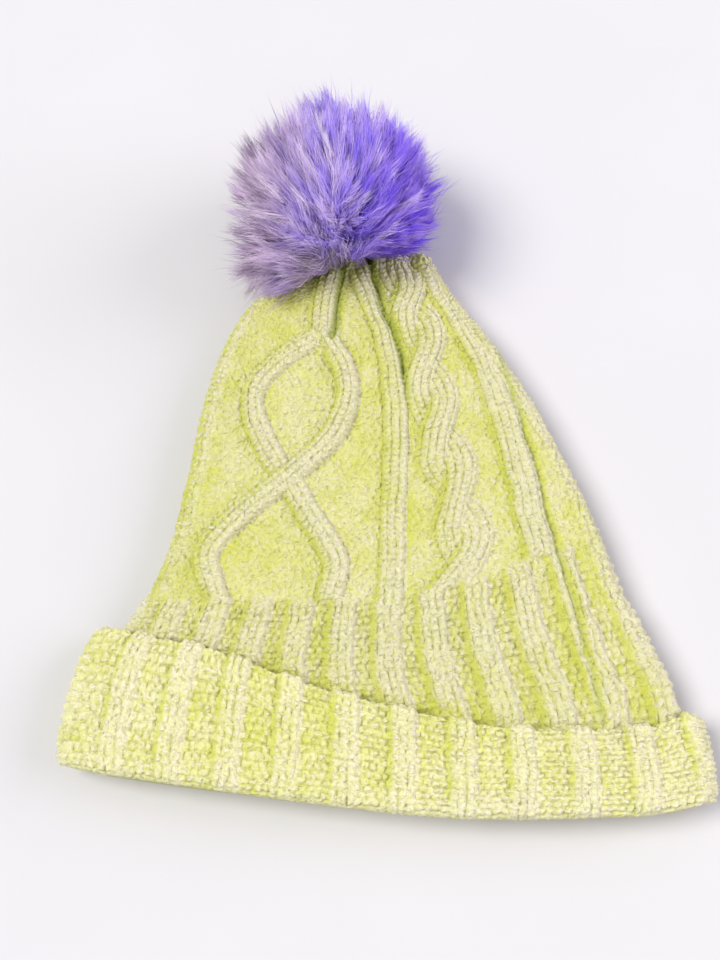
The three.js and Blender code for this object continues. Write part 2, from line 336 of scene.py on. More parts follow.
def body_rows():
    """Heights of the rows of points, from the brim to the crown, closer together where they show."""
    hidden = np.linspace(0.0, CUFF_COVERS, HIDDEN_ROWS, endpoint=False)
    return np.concatenate([hidden, np.linspace(CUFF_COVERS, 1.0, OPEN_ROWS)])


def body_surface(rows, around):
    """The smooth tube without any stitches: points, and each point's share across the face."""
    left = even_spline(LEFT_EDGE, rows)
    right = even_spline(RIGHT_EDGE, rows + ROW_LEAD * 4 * rows * (1 - rows))
    dip = ROW_DIP * (1.0 - smooth(0.62, 1.0, rows)) * (0.45 + 0.55 * smooth(0.0, 0.3, rows))
    points = np.zeros((len(rows), around, 3))
    across = np.zeros((len(rows), around))
    for i in range(len(rows)):
        width = np.linalg.norm(right[i] - left[i])
        middle = (left[i, 1] + right[i, 1]) / 2
        height = (body_high(middle) - body_low(middle)) / 2
        a, b = unit_section(around, width / 2, height, BODY_SECTION)
        plan = left[i] + (a[:, None] + 1) / 2 * (right[i] - left[i])
        plan[:, 1] -= dip[i] * (1 - a * a)
        plan[:, 1] += BACK_RAISE * smooth(0.3, -0.9, b) * (1 - smooth(0.0, 0.12, rows[i]))
        low = body_low(plan[:, 1])
        high = body_high(plan[:, 1])
        points[i, :, :2] = plan
        points[i, :, 2] = (low + high) / 2 + b * (high - low) / 2
        across[i] = a
    return points, across


def outward(points):
    """Unit normals of a grid of points that closes round its columns."""
    round_it = np.roll(points, -1, axis=1) - np.roll(points, 1, axis=1)
    up_it = np.gradient(points, axis=0)
    return units(np.cross(round_it, up_it))


# The pattern of one face, seen from outside. The back face repeats it.
CORD_OVER = [(-34, 194), (-28, 185), (-23, 174), (-22, 163), (-26, 149), (-35, 137), (-48, 124),
             (-61, 112), (-70, 101), (-72, 92), (-68, 83), (-64, 74)]
CORD_UNDER = [(-34, 194), (-44, 188), (-54, 179), (-60.5, 169), (-60, 157), (-55, 145), (-46.5, 132),
              (-36, 117), (-27, 104), (-21.5, 93), (-22.5, 82), (-24, 72)]
CORD_STEM = [(-34, 190), (-34.5, 203), (-34, 218), (-32.5, 232)]
CORD_HALF = 5.2
CORD_OVER_RISE, CORD_UNDER_RISE = 3.2, 2.8
CROSSING = (-47.0, 126.5)
CROSSING_DIP, CROSSING_SIZE = 1.7, 11.0
SPINE = [(-24, 236), (-17.7, 217), (-9.7, 197), (-4.7, 178), (-2.5, 160), (-1.3, 140), (-0.6, 118), (0, 98),
         (0.6, 72)]
SPINE_HALF, SPINE_RISE = 5.4, 1.5
GROOVE_SHORT = [(-29, 238), (-29.3, 216), (-29.4, 204), (-30.6, 193)]
GROOVE_LONG = [(-18, 238), (-13, 217), (-6.6, 199), (-0.6, 182), (1.8, 165), (3.2, 147), (4.4, 130),
               (5.8, 107), (7, 80)]
ROPE = [(-9, 236), (-1, 213), (5.5, 192), (10, 173), (14, 155), (19, 138), (24, 121), (27, 106), (27, 94),
        (25, 82)]
ROPE_HALF, ROPE_RISE = 6.9, 1.7
ROPE_SWING = 5.2  # its two strands swing this far to each side
ROPE_TILT = 1.4  # and this far up and down
ROPE_START = 9.5
ROPE_PITCH = 31.0
SCALLOP = 3.4  # length of one bump along a cord's edge
STEM_HALF, STEM_RISE = 6.8, 2.0
CREASE_SHADE, CREASE_DEPTH = 0.26, 0.75
GROOVE_DEPTH = 2.6
RIB_RISE, CUFF_RIB_RISE = 1.7, 1.4
COLUMNS = [(5, 236), (19, 209), (30, 189), (38.5, 167), (45, 145), (50.5, 123), (55.5, 102), (60, 84)]
COLUMNS_HALF, COLUMNS_RISE = 6.6, 1.8
GROOVE_EDGE = [(13, 232), (27, 208), (38, 187), (46.5, 163), (53, 140), (59, 118), (64, 98), (69, 80),
               (75, 58), (80, 36)]
RIB_TOP_X = [-100, -82, -34, 4, 26, 45, 60, 90]
RIB_TOP_Y = [80, 77, 78, 81, 87, 94, 102, 110]


def ridge(distance, half, power=2.4):
    """Cross profile of a raised cord, 1 on its middle line and 0 beyond half."""
    part = np.clip(np.abs(distance) / half, 0.0, 1.0)
    return (1.0 - part**power) ** 0.6


def dent(distance, half):
    """Cross profile of a groove, 1 on its line and fading out beyond half."""
    return np.exp(-((distance / half) ** 2))


def face_pattern(x, y, wales, rows_up):
    """The knit of one face: its height over the ground, and where it is plain knit, folded and stitched.

    knit is 1 where the stitches are plain, groove is 1 in the deep folds and stitches is 1 on the middle
    of a stitch. groove also carries the painted shade of the folds and of the creases beside the cords and
    ribs. x and y are on the face, wales and rows_up count stitches round the hat and up it.
    """
    height = np.zeros(x.shape)
    knit = np.zeros(x.shape)
    creases = np.zeros(x.shape)
    stitches = purl_stitches(wales, rows_up)

    def lay(distance, along, half, amount, power=2.4):
        """Put a raised band of plain knit over whatever is there, with a crease along its sides, dented and
        painted with shade.
        """
        nonlocal height, knit, stitches, creases
        scalloped = distance * (1 + 0.08 * np.cos(2 * np.pi * along / SCALLOP))
        shape = ridge(scalloped, half, power)
        raised = shape * amount
        on_top = smooth(-0.2, 0.3, raised - height)
        own = knit_stitches(distance / STITCH + 0.5, along / ROW)
        height = height * (1 - on_top) + raised * on_top
        knit = np.maximum(knit * (1 - on_top), on_top * smooth(0.05, 0.4, shape))
        stitches = stitches * (1 - on_top) + own * on_top
        beside = dent(np.abs(distance) - half - 0.2, 0.9) * smooth(0.5, 3.0, along)
        creases = np.maximum(creases * (1 - on_top), beside * (1 - smooth(0.5, 1.6, height)))

    lay(*to_curve(x, y, SPINE), SPINE_HALF, SPINE_RISE, 3)
    lay(*to_curve(x, y, COLUMNS), COLUMNS_HALF, COLUMNS_RISE, 4)
    d_rope, l_rope = to_curve(x, y, ROPE)
    turn = np.pi * (l_rope - ROPE_START) / ROPE_PITCH
    for phase in (0.0, np.pi):
        strand = d_rope - ROPE_SWING * np.cos(turn + phase)
        lay(strand, l_rope, ROPE_HALF, ROPE_RISE - ROPE_TILT * np.sin(turn + phase))
    lay(*to_curve(x, y, CORD_STEM), STEM_HALF, STEM_RISE)
    from_crossing = np.hypot(x - CROSSING[0], y - CROSSING[1])
    dip = CROSSING_DIP * dent(from_crossing, CROSSING_SIZE)
    lay(*to_curve(x, y, CORD_UNDER), CORD_HALF, CORD_UNDER_RISE - dip)
    lay(*to_curve(x, y, CORD_OVER), CORD_HALF, CORD_OVER_RISE)

    # Below this line the pattern turns into ribs.
    rib_line = np.interp(x, RIB_TOP_X, RIB_TOP_Y)
    ribbed = 1 - smooth(-3.5, 2.5, y - rib_line)
    wave = np.cos(2 * np.pi * wales / WALES * 2 * FACE_RIBS + 0.9)
    rib = smooth(-0.65, 0.15, wave)
    rib_stitches = knit_stitches(wales, rows_up) * rib + purl_stitches(wales, rows_up) * (1 - rib)
    beside_rib = dent(wave + 0.75, 0.18)
    height = height * (1 - ribbed) + RIB_RISE * rib * ribbed
    stitches = stitches * (1 - ribbed) + rib_stitches * ribbed
    knit = knit * (1 - ribbed) + rib * ribbed
    creases = creases * (1 - ribbed) + 0.8 * beside_rib * ribbed
    creases = creases * (0.65 + 0.45 * noise(stacked(x, y, 0.0), 3.6, 12))

    groove = dent(to_curve(x, y, GROOVE_LONG)[0], 1.1 + 0.8 * smooth(150, 215, y)) * (1 - ribbed)
    groove *= 0.10 + 0.90 * smooth(145, 195, y)
    groove += dent(to_curve(x, y, GROOVE_SHORT)[0], 1.7) * 1.05
    groove += dent(to_curve(x, y, GROOVE_EDGE)[0], 1.4) * 0.5
    height -= GROOVE_DEPTH * groove + CREASE_DEPTH * creases
    # The creases add painted shade to the groove value.
    groove = np.clip(groove + CREASE_SHADE * creases, 0, 1)
    return height, knit, groove, stitches


def right_slope(points, height, normals):
    """How far the surface faces to the right, from -1 to 1, with its relief: the share of painted lilac light
    from the right.
    """
    wide = np.linalg.norm(np.roll(points, -2, axis=1) - np.roll(points, 2, axis=1), axis=2)
    rise = np.roll(height, -2, axis=1) - np.roll(height, 2, axis=1)
    return np.clip(0.55 * normals[:, :, 0] - rise / wide, -1.0, 1.0)


def finish_knit(points, height, stitches, knit, seed):
    """Adds the stitches and the pile of the chenille to a height, and says where the cracks are, which the
    material paints with shade.
    """
    crumbs = lumps(points * [0.85, 1.15, 1.0], CRUMB, seed)
    total = height + (PURL_RISE + (KNIT_RISE - PURL_RISE) * knit) * stitches
    total += CRUMB_RISE * crumbs + CLUMP_RISE * lumps(points, CLUMP, seed + 1)
    total += 0.35 * noise(points, 15, seed + 2) + 0.15 * noise(points, 1.3, seed + 3)
    return total, 1 - (0.60 * stitches + 0.40 * crumbs)


def knit_body(material):
    rows = body_rows()
    points, across = body_surface(rows, AROUND)
    normals = outward(points)
    y = points[:, :, 1]
    front = np.arange(AROUND) < AROUND // 2
    both_sides = points[:, :1, 0] + points[:, AROUND // 2:AROUND // 2 + 1, 0]
    face_x = np.where(front, points[:, :, 0], both_sides - points[:, :, 0])
    share = np.arange(AROUND) / AROUND
    lengths = lengths_along(points[:, AROUND // 4])
    wales = share * WALES + WANDER * noise(points, WANDER_SIZE, 6)
    rows_up = (lengths / ROW)[:, None] + WANDER * noise(points, WANDER_SIZE, 7)
    sway = 0.7 * noise(points, 9.0, 8)
    height, knit, groove, stitches = face_pattern(face_x + sway, y + sway, wales, rows_up)

    # The plain margins at the two sides, where the pattern runs out.
    from_middle = np.abs(across)
    above_ribs = smooth(74, 86, y)
    fade = smooth(0.90, 0.96, from_middle) * above_ribs
    height = height * (1 - fade) + MARGIN_RISE * fade
    stitches = stitches * (1 - fade) + knit_stitches(wales, rows_up) * fade
    edge_wave = np.abs(np.sin(np.pi * (lengths / 3.1 + 0.5 * np.sin(lengths / 7.0))))[:, None]
    height = height + EDGE_BUMPS * edge_wave * smooth(0.93, 0.99, from_middle)

    # Puckers that deepen towards the drawn-up crown, and the crease under the cuff's edge, with a line of
    # painted shade along it.
    puckers = np.sin(2 * np.pi * PUCKERS * share + 1.3)
    height = height + smooth(0.84, 1.0, rows)[:, None] * (1.3 * puckers - 0.4)
    over_cuff = y - np.interp(points[:, :, 0], EDGE_X, EDGE_Y)
    height = height - UNDER_EDGE * (1 - smooth(0.5, 4.5, over_cuff))
    groove = np.clip(groove + 0.45 * dent(over_cuff, 1.0), 0, 1)

    relief = height
    height, crack = finish_knit(points, height, stitches, knit, 1)
    height = height * smooth(-0.02, 0.06, rows)[:, None]
    outer = points + normals * height[:, :, None]
    bottom = (points[:, :, 2] < MID_Z) & (y > 95)
    outer[:, :, 2] += 0.9 * noise(points * [1, 1, 0.2], 46, 5) * above_ribs
    outer[:, :, 2] = np.maximum(outer[:, :, 2], BODY_LOW[2] + 0.15 + 0.25 * height * bottom)

    # The crown is drawn in from its last round to the hole.
    shares = np.linspace(1.0, HOLE_SHARE, CAP_ROWS + 1)[1:, None]
    last = outer[-1]
    cap = GATHER + (last - GATHER) * shares[:, :, None]
    cap[:, :, 1] += 10 * shares * (1 - shares) + 0.9 * puckers * np.sqrt(shares * (1 - shares))

    # The inside follows the smooth tube, one wall further in, back down to the brim.
    inner, _ = body_surface(np.linspace(0.0, 1.0, 26), AROUND)
    inner = inner - outward(inner) * WALL
    inner_top = GATHER + (inner[-1] - GATHER) * 0.9 - [0, 1.5, 0]
    hole_inside = GATHER + (last - GATHER) * HOLE_SHARE - [0, 4.0, 0]
    every = np.concatenate([outer, cap, hole_inside[None], inner_top[None], inner[::-1]])
    rings = len(every)
    faces = grid_faces(rings, AROUND, closed=True)
    piece = make_mesh("knit_tube", every, faces, "hat", "knit_body", material, "hat_body")

    def whole(values, inside):
        """Values of the outside's rows carried over the cap, and one value for all of the inside."""
        full = np.full((rings, AROUND), float(inside))
        full[:len(rows)] = values
        full[len(rows):len(rows) + CAP_ROWS] = values[-1]
        return full

    # Right-facing sides are painted paler lilac through this value: painted light from the right.
    slope = right_slope(points, relief, normals)
    # The inside's groove value of 0.5 paints it darker green: painted shade inside the tube.
    add_values(piece, relief=whole(relief, 0.0), slope=whole(slope, 0.0), knit=whole(knit, 0.2),
               groove=whole(groove, 0.5), crack=whole(crack, 0.4))


# ---- the turned-up brim

CUFF_LEFT = [(-110.5, 70), (-110.5, 65), (-115.2, 55), (-118.2, 38), (-119.6, 20), (-119.6, 5),
             (-119.6, -5)]
CUFF_RIGHT = [(112, 70), (112.5, 46), (115.4, 39), (117.5, 27), (119.6, 15), (119.6, 0), (119.6, -5)]
FOLD_X = [-120, -116, -104, -66, -29, 8, 33, 62, 97, 111, 120]
FOLD_Y = [14, 10.5, 8.4, 4.9, 2.0, -0.4, -1.0, 0.6, 3.9, 7.0, 12]
EDGE_X = [-112, -99, -89, -70, -50, -31, -12, 7, 25, 43, 61, 78, 103, 112]
EDGE_Y = [64.5, 60.5, 60, 57.3, 51.5, 45.8, 41.6, 37.6, 34.6, 32.6, 32.1, 33, 35.5, 41]
FOLD_R = 4.7  # radius of the rolled fold, to its outside
CUFF_INSIDE = 0.35
CUFF_SECTION = 4.0
CUFF_AROUND = 780
CUFF_RIBS = 2 * FACE_RIBS
CUFF_WALES = 154
CUFF_OUTER_ROWS = 88
FOLD_ROWS = 30
EDGE_ROWS = 7


def fold_line(x, side):
    """Where the fold lies at x. side goes from -1 on the under layer to 1 on the top one."""
    return np.interp(x, FOLD_X, FOLD_Y) + BACK_RAISE * smooth(0.3, -0.9, side)


def cuff_profile():
    """Points round the cuff's cross-section as (share up the outer face, y above the fold, offset out).

    The share only counts on the straight stretches, where the height follows the free edge.
    """
    bend = np.radians(np.linspace(-90, 90, FOLD_ROWS))
    fold = [(0.0, FOLD_R - FOLD_R * math.cos(t), FOLD_R * math.sin(t)) for t in bend]
    outer = [(share, FOLD_R, FOLD_R) for share in np.linspace(0.0, 1.0, CUFF_OUTER_ROWS)[1:]]
    turn = np.radians(np.linspace(60, -60, EDGE_ROWS))
    edge = [(1.0, FOLD_R + 1.9 * math.cos(t), FOLD_R - 2.1 + 2.1 * math.sin(t)) for t in turn]
    inner = [(share, FOLD_R, CUFF_INSIDE) for share in np.linspace(0.98, 0.0, 18)]
    lip = [(0.0, FOLD_R + 0.4, offset) for offset in (-1.2, -2.8)]
    return np.array(fold + outer + edge + inner + lip)


def cuff(material):
    profile = cuff_profile()
    half = (CUFF_HIGH[2] - CUFF_LOW[2]) / 2 - FOLD_R
    a, b = unit_section(CUFF_AROUND, CUFF_HIGH[0] - FOLD_R, half, CUFF_SECTION)
    share = np.arange(CUFF_AROUND) / CUFF_AROUND
    x_here = a * (CUFF_HIGH[0] - 3)
    blur = np.hanning(31)
    blur /= blur.sum()

    def softened(values):
        wide = np.concatenate([values[-15:], values, values[:15]])
        return np.convolve(wide, blur, "valid")

    fold_y = softened(fold_line(x_here, b))
    edge_y = softened(np.interp(x_here, EDGE_X, EDGE_Y) - FOLD_R - 1.6)
    up, above_fold, offset = (column[:, None] for column in profile.T)
    y = fold_y * (1 - up) + edge_y * up + above_fold
    left, right = (np.interp(y, *np.array(line)[::-1, ::-1].T) for line in (CUFF_LEFT, CUFF_RIGHT))
    reach = (right - left) / 2 - FOLD_R
    section = stacked(a * (CUFF_HIGH[0] - FOLD_R), b * half)
    tangent = units(np.roll(section, -1, axis=0) - np.roll(section, 1, axis=0))
    points = stacked(
        (left + right) / 2 + a * reach - offset * tangent[:, 1],
        y,
        MID_Z + b * half + offset * tangent[:, 0],
    )
    normals = outward(points)
    along = lengths_along(points[:, CUFF_AROUND // 4])[:, None]
    outer_end = FOLD_ROWS + CUFF_OUTER_ROWS - 1
    face = smooth(0.0, 1.0, offset / FOLD_R)
    face[outer_end:outer_end + EDGE_ROWS] = 0.8
    face[outer_end + EDGE_ROWS:] = 0.0

    wander = noise(points, WANDER_SIZE, 16)
    wales = share * CUFF_WALES + WANDER * wander
    rows_up = along / ROW + WANDER * noise(points, WANDER_SIZE, 17)
    wave = np.cos(2 * np.pi * CUFF_RIBS * (share + 0.0007 * wander) + 0.4)
    rib = smooth(-0.05, 0.55, wave)
    stitches = knit_stitches(wales, rows_up) * rib + purl_stitches(wales, rows_up) * (1 - rib)
    lower = 1 - smooth(4, 12, y - fold_y)
    beside_rib = dent(wave + 0.2, 0.22) * (1 - lower)
    height = (CUFF_RIB_RISE * rib - 0.45 * beside_rib) * (1 - 0.55 * lower)
    turn_over = 1 - smooth(1.5, 5.0, y - fold_y)
    sides = smooth(0.965, 0.995, np.abs(a))
    fold_bumps = np.abs(np.sin(np.pi * (share * CUFF_WALES + 0.3 * np.sin(share * 300))))
    side_bumps = np.abs(np.sin(np.pi * along / 3.2)) * face
    height += CUFF_BUMPS * (turn_over * fold_bumps + sides * side_bumps)
    relief = height
    height, crack = finish_knit(points, height, stitches * (0.35 + 0.65 * face), rib, 21)
    height = (height - 1.9) * (0.15 + 0.85 * face)
    outer = points + normals * height[:, :, None]
    outer[:, :, 2] = np.maximum(outer[:, :, 2], CUFF_LOW[2] + 0.05 + 0.12 * np.maximum(height + 1.7, 0))
    faces = grid_faces(len(profile), CUFF_AROUND, closed=True)
    piece = make_mesh("turned_up_brim", outer, faces, "cuff", "knit_cuff", material, "cuff")
    # Raising the relief near the fold paints the lower brim paler: painted light.
    add_values(piece, relief=relief + 2.0 * lower, slope=0.65 * right_slope(points, relief, normals),
               knit=rib, groove=CREASE_SHADE * 0.7 * beside_rib, crack=crack)


# ---- the faux-fur pom-pom

FUR_R = (FUR_HIGH[0] - FUR_LOW[0]) / 2
FUR_SAG = 3.2  # the ball of fur hangs this far back onto the crown and down to the floor
FUR_MIDDLE = np.array([
    (FUR_LOW[0] + FUR_HIGH[0]) / 2 - 1.5,
    FUR_HIGH[1] - SHIFT_Y - FUR_R - FUR_SAG,
    FUR_HIGH[2] - FUR_R - FUR_SAG,
])
NECK = np.array([-26.0, 243.0, 17.0])  # where the fur is gathered, at the end of the crown
SOURCE = np.array([-27.0, 235.0, 17.5])  # the brushed fur fans out from here
COMBED = np.array([0.0, 0.904, 0.427])  # the way the fur is brushed, away from the crown
FACING = np.array([0.0, -0.427, 0.904])  # square to it, out of the upper side of the ball
BACKING_R = 17.5  # radius of the gathered backing that the fur grows on
LOCKS = 1000
STRANDS_PER_LOCK = 38
STRAND_POINTS = 6
STRAND_LENGTH = (25, 37)
STRAND_R = (0.14, 0.25)
LOOSE_SHARE = 0.08  # share of the strands that stray from their lock
FUR_SEED = 7
FUR_PARTS = 4
SKIRT_LOCKS = 90  # short locks that hang over the end of the crown
FLOOR_CLEAR = 0.4


def even_directions(count):
    """Directions spread evenly over a ball."""
    index = np.arange(count) + 0.5
    up = 1 - 2 * index / count
    turn = index * math.pi * (1 + 5**0.5)
    flat = np.sqrt(1 - up * up)
    return stacked(flat * np.cos(turn), flat * np.sin(turn), up)


def crown_under(x, y):
    """Height of the crown under the fur; far below where there is no crown."""
    inside = smooth(-78, -64, x) * (1 - smooth(10, 26, x)) * (1 - smooth(238, 244, y))
    return -30.0 + inside * (BODY_HIGH[2] + 31.0)


def fan_spot(points):
    """Where points are in the fan: along +X, the way the fur is brushed, and up out of the fan."""
    away = points - SOURCE
    return stacked(away[..., 0], away @ COMBED, away @ FACING)


def from_fan(spots):
    return SOURCE + spots[..., :1] * [1.0, 0, 0] + spots[..., 1:2] * COMBED + spots[..., 2:] * FACING


def lock_ends(rng):
    """Where the locks end."""
    around = units(even_directions(LOCKS) + rng.normal(0, 0.03, (LOCKS, 3)))
    reach = 0.99 + 0.06 * rng.normal(0, 1, LOCKS) + 0.05 * noise(around * 50, 16, 34)
    ends = FUR_MIDDLE + around * (FUR_R * np.clip(reach, 0.84, 1.10))[:, None]
    spot = fan_spot(ends)
    droop = smooth(12, 40, -spot[:, 0]) * (1 - smooth(0, 34, spot[:, 1]))
    ends = ends - 11.0 * droop[:, None] * COMBED
    ends[:, 2] = np.maximum(ends[:, 2], 2.0)
    lowest = -1.0 - 16.0 * smooth(20, 36, -spot[:, 0]) - 3.0 * smooth(22, 36, spot[:, 0])
    in_crown = (ends[:, 1] < 247) & (ends[:, 2] < 27) & (np.abs(ends[:, 0] + 26) < 40)
    return ends[(spot[:, 1] > lowest) & ~in_crown]


def skirt_paths(rng):
    """Strands that hang over the end of the crown and hide where the fur is tied on."""
    lock = np.repeat(np.arange(SKIRT_LOCKS), STRANDS_PER_LOCK)
    count = len(lock)
    aside = rng.uniform(-1, 1, SKIRT_LOCKS)[lock]
    drop = rng.uniform(0, 1, SKIRT_LOCKS)[lock]
    tips = SOURCE + stacked(26 * aside, 7.0 * aside + 8.0 * drop - 9.5, 9.0 * drop)
    tips[:, 2] += BODY_HIGH[2] + 1.5 - SOURCE[2]
    tips += rng.normal(0, 1.1, (count, 3))
    facing = stacked(0.9 * aside, -0.8, 0.35 + 0.5 * drop)
    roots = FUR_MIDDLE + BACKING_R * units(facing + rng.normal(0, 0.12, (count, 3)))
    bulge = (roots + tips) / 2 + [0, -1.5, 4.0] + rng.normal(0, 0.8, (count, 3))
    part = np.linspace(0, 1, STRAND_POINTS)[:, None]
    left = 1 - part
    return roots[:, None] * left**2 + 2 * bulge[:, None] * part * left + tips[:, None] * part**2, lock


def fur_strands(rng):
    """Centre points of every strand, from root to tip, with its thickness, tone and lock.

    Seen square on, each strand runs straight out of the fan's source. Its height above the middle
    of the ball follows a shell of the ball, so that it lies along the surface.
    """
    ends = lock_ends(rng)
    locks = len(ends)
    count = locks * STRANDS_PER_LOCK
    lock = np.repeat(np.arange(locks), STRANDS_PER_LOCK)
    loose = (rng.random(count) < LOOSE_SHARE)[:, None]
    tips = ends[lock] + rng.normal(0, 1, (count, 3)) * np.where(loose, 3.2, 0.9)
    spot = fan_spot(tips)
    middle = fan_spot(FUR_MIDDLE)
    flat = spot[:, :2]
    far = np.maximum(np.linalg.norm(flat, axis=1), 3.0)
    way = flat / far[:, None]
    cross = stacked(-way[:, 1], way[:, 0])
    length = rng.uniform(*STRAND_LENGTH, count)
    end_far = far - np.where(loose[:, 0], 0.0, 9.0 * rng.random(count) ** 1.6)
    start_far = np.maximum(far - length, rng.uniform(1.5, 7.0, count))
    start_far = np.minimum(start_far, end_far - 3.0)
    part = np.linspace(0, 1, STRAND_POINTS)
    gone = start_far[:, None] * (1 - part) + end_far[:, None] * part
    fanned = rng.normal(0, 2.8, count)[:, None]
    swirl = (noise(ends, 17, 41) * 6.5 + rng.normal(0, 2.2, locks))[lock, None]
    aside = fanned * (1 - part) ** 1.3 + swirl * np.sin(math.pi * part) * 0.55
    on_plane = way[:, None] * gone[..., None] + cross[:, None] * aside[..., None]

    def half_depth(place):
        off = np.linalg.norm(place - middle[:2], axis=-1)
        return np.sqrt(np.maximum(FUR_R**2 - off**2, 30.0))

    level = np.clip((spot[:, 2] - middle[2]) / half_depth(flat), -1, 1)
    level *= rng.uniform(0.80, 1.0, locks)[lock] * rng.uniform(0.93, 1.0, count)
    off_middle = np.linalg.norm(fan_spot(ends)[:, :2] - middle[:2], axis=1)[lock]
    inside = smooth(0.72, 0.95, off_middle / FUR_R)
    level = level * (1 - inside) + rng.uniform(-1, 1, locks)[lock] * inside
    far_side = smooth(0.15, 0.9, (flat[:, 1] - middle[1]) / FUR_R)
    low_start = 0.80 - 0.60 * np.maximum(far_side, inside)[:, None]
    lift = (low_start + (1 - low_start) * part) * level[:, None]
    depth = middle[2] + lift * half_depth(on_plane)
    depth = depth * (1 - part**4) + spot[:, 2:] * part**4
    path = from_fan(np.concatenate([on_plane, depth[..., None]], axis=-1))
    off = np.linalg.norm(path - FUR_MIDDLE, axis=-1, keepdims=True)
    grown = smooth(0.0, 0.35, part)[..., None]
    drawn = np.minimum(BACKING_R / off, 1.0) * (1 - grown) + grown
    path = FUR_MIDDLE + (path - FUR_MIDDLE) * drawn
    path += rng.normal(0, 0.42, path.shape)
    skirt, skirt_lock = skirt_paths(rng)
    path = np.concatenate([path, skirt])
    lock = np.concatenate([lock, locks + skirt_lock])
    locks += SKIRT_LOCKS
    count = len(path)

    # Fur gives way where it lies on the floor and on the crown.
    ground = np.maximum(crown_under(path[..., 0], path[..., 1]), FLOOR_CLEAR)
    ground = ground + rng.uniform(0, 1.6, (count, 1))
    path[..., 2] += np.maximum(ground - path[..., 2], 0.0)
    thick = rng.uniform(*STRAND_R, count)
    tone = rng.normal(0, 0.13, count) + rng.normal(0, 0.25, locks)[lock] + 0.5
    return path, thick, np.clip(tone, 0, 1), lock


def strand_faces():
    """Triangles of one closed strand: a three-sided base, sides and a pointed tip."""
    faces = [[2, 1, 0]]
    last = 3 * (STRAND_POINTS - 2)
    for a, b, c, d in grid_faces(STRAND_POINTS - 1, 3):
        faces += [[a, b, c], [a, c, d]]
    for corner in range(3):
        faces.append([last + corner, last + (corner + 1) % 3, last + 3])
    return np.array(faces)


def map_strands(piece, tone, across, place, faces):
    """Texture places for the strands: one thin column for each shade and side, root to tip."""
    shades = 32
    shade = np.floor(np.clip(tone, 0, 0.999) * shades)
    side = np.floor(np.clip(across, 0, 0.999) * shades)
    u = (side * shades + shade + 0.5) / shades**2
    v = 0.02 + 0.96 * place[faces.ravel()]
    layer = piece.data.uv_layers.new(name="OFBake")
    layer.data.foreach_set("uv", stacked(np.repeat(u, faces.size), np.tile(v, len(tone))).ravel())


def pompom_locks(material):
    rng = np.random.default_rng(FUR_SEED)
    path, thick, tone, lock = fur_strands(rng)
    count = len(path)
    heading = units(np.gradient(path, axis=1))
    side = units(np.cross(heading, rng.normal(0, 1, (count, 1, 3))))
    other = np.cross(heading, side)
    along = np.linspace(0, 1, STRAND_POINTS)
    taper = (1 - 0.62 * along**2) * (0.7 + 0.3 * np.sin(np.pi * along))
    reach = (thick[:, None] * taper)[..., None]
    turn = (np.arange(3) * 2 * math.pi / 3)[:, None]
    across_it = side[:, :, None] * np.cos(turn) + other[:, :, None] * np.sin(turn)
    rings = (path[:, :, None] + across_it * reach[:, :, None])[:, :-1].reshape(count, -1, 3)
    points = np.concatenate([rings, path[:, -1:]], axis=1)
    per_strand = points.shape[1]
    faces = strand_faces()
    place = np.append(np.repeat(along[:-1], 3), 1.0)
    across = np.clip(0.5 + (points[:, -1, 0] - FUR_MIDDLE[0]) / (2 * FUR_R), 0, 1)
    skirt = lock > lock.max() - SKIRT_LOCKS
    for part in range(FUR_PARTS + 1):
        on_crown = part == FUR_PARTS
        mine = np.flatnonzero(skirt if on_crown else ~skirt & (lock % FUR_PARTS == part))
        firsts = np.arange(len(mine)) * per_strand
        every = (faces[None] + firsts[:, None, None]).reshape(-1, 3)
        name = "fur_over_crown" if on_crown else f"fur_locks_{part + 1}"
        piece = make_mesh(name, points[mine], every, "pompom", "fur", material, "pompom_fur")
        add_values(piece, tone=np.repeat(tone[mine], per_strand), place=np.tile(place, len(mine)),
                   across=np.repeat(across[mine], per_strand))
        map_strands(piece, tone[mine], across[mine], place, faces)
        if on_crown:
            bend_between(piece)


def ball(middle, radius, swell, turns=96, levels=48):
    """Points and faces of a lumpy ball. swell gives a height above radius for each direction."""
    angle = np.linspace(0, 2 * np.pi, turns, endpoint=False)
    level = np.linspace(-np.pi / 2, np.pi / 2, levels + 2)[1:-1, None]
    around = stacked(np.cos(level) * np.cos(angle), np.cos(level) * np.sin(angle), np.sin(level))
    around = np.concatenate([around.reshape(-1, 3), [[0, 0, -1.0], [0, 0, 1.0]]])
    faces = grid_faces(levels, turns).tolist()
    bottom = levels * turns
    last = bottom - turns
    for i in range(turns):
        beside = (i + 1) % turns
        faces.append([bottom, beside, i])
        faces.append([bottom + 1, last + i, last + beside])
    return middle + around * (radius + swell(around))[:, None], faces


def fur_backing():
    """The gathered knit backing that the fur grows on, round the stuffing."""
    def pleated(around):
        pleats = np.cos(14 * np.arctan2(around[:, 0], around[:, 1]))
        return 0.35 * noise(around * 17, 3.0, 51) + 0.3 * pleats * np.abs(around[:, 2])

    points, faces = ball(FUR_MIDDLE, BACKING_R - 0.4, pleated)
    cloth = felt_material("fur_backing_cloth", (0.36, 0.33, 0.42))
    make_mesh("fur_backing", points, faces, "pompom", "fur", cloth, "pompom_fur")


